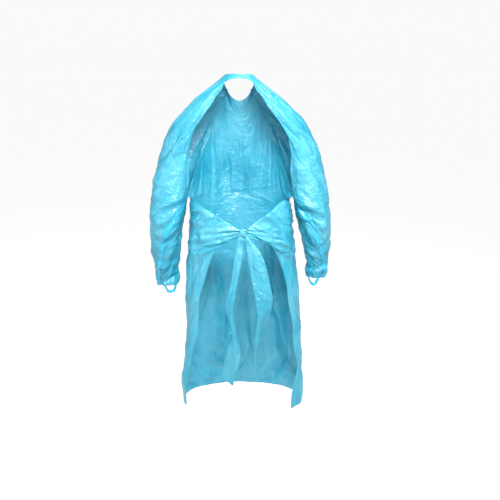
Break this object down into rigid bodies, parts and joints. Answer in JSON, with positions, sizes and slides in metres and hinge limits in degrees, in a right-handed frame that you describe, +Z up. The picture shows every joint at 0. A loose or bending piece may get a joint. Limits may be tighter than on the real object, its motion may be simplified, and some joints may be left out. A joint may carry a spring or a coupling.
{
  "type": "isolation gown",
  "caption": "Thin plastic film isolation gown in its worn, hollow form, open at the back, with long sleeves, thumb loops and a tied waist.",
  "frame": {"origin": "middle of the wearer's shoulder line at the base of the nape, where the gown hangs from the wearer", "axes": "+Z up the gown, from hem to neck; +Y out of the open back; -Y out of the front; +X towards the wearer's left sleeve"},
  "size_m": [0.6942, 0.3545, 1.2684],
  "materials": {
    "film": "glossy translucent sky-blue film with fine crinkles",
    "welded_film": "the same film doubled at its welds, so deeper blue"
  },
  "bodies": {
    "root": {"front_panel": "film", "sleeve_left": "film", "sleeve_right": "film", "nape_band": "film", "tie_knot": "film", "tie_tail_left": "film", "tie_tail_right": "film", "seam_strip_left": "welded_film", "seam_strip_right": "welded_film", "thumb_loop_left": "welded_film", "thumb_loop_right": "welded_film"}
  },
  "joints": []
}
